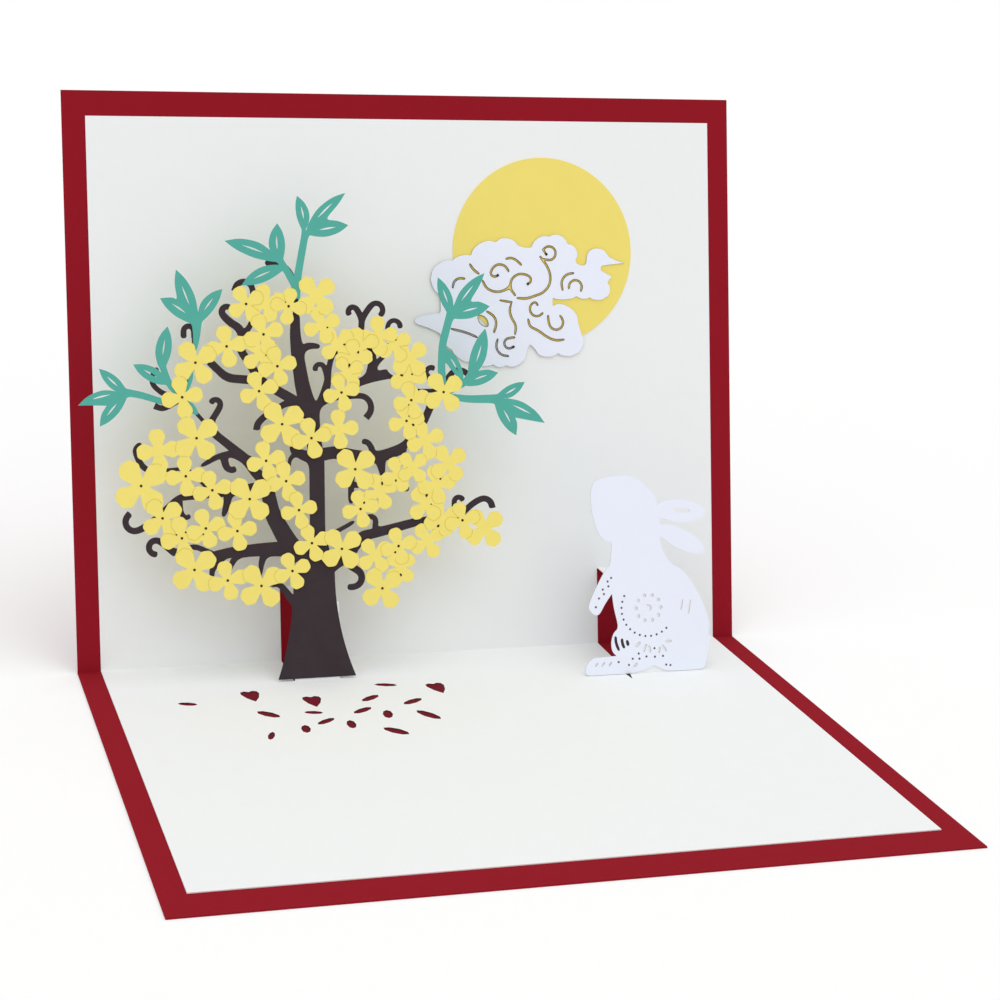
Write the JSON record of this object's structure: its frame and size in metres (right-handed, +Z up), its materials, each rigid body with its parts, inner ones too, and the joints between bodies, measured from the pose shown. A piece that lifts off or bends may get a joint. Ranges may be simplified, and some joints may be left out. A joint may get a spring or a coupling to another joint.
{
  "type": "pop up card",
  "caption": "Open paper pop up card: a red folded cover and a pale liner whose pushed out steps hold up a flowering papercut tree and a rabbit, with a moon and a cloud behind.",
  "frame": {"origin": "middle of the base panel's underside", "axes": "+X along the fold, to the viewer's right; -Y to the front, away from the fold; +Z up, out of the base panel"},
  "size_m": [0.183, 0.1806, 0.1473],
  "materials": {
    "red_card": "matt red card",
    "pale_paper": "matt off-white paper",
    "moon_paper": "matt pale yellow paper",
    "white_paper": "matt white paper",
    "brown_paper": "matt dark brown paper",
    "green_paper": "matt green paper",
    "yellow_paper": "matt yellow paper"
  },
  "bodies": {
    "root": {"cover": "red_card", "liner": "pale_paper", "moon": "moon_paper", "cloud": "white_paper", "tree_branches": "brown_paper", "leaves_top": "green_paper", "leaves_upper_left": "green_paper", "leaves_left": "green_paper", "leaves_right": "green_paper", "blossoms": "yellow_paper", "rabbit": "white_paper"}
  },
  "joints": []
}
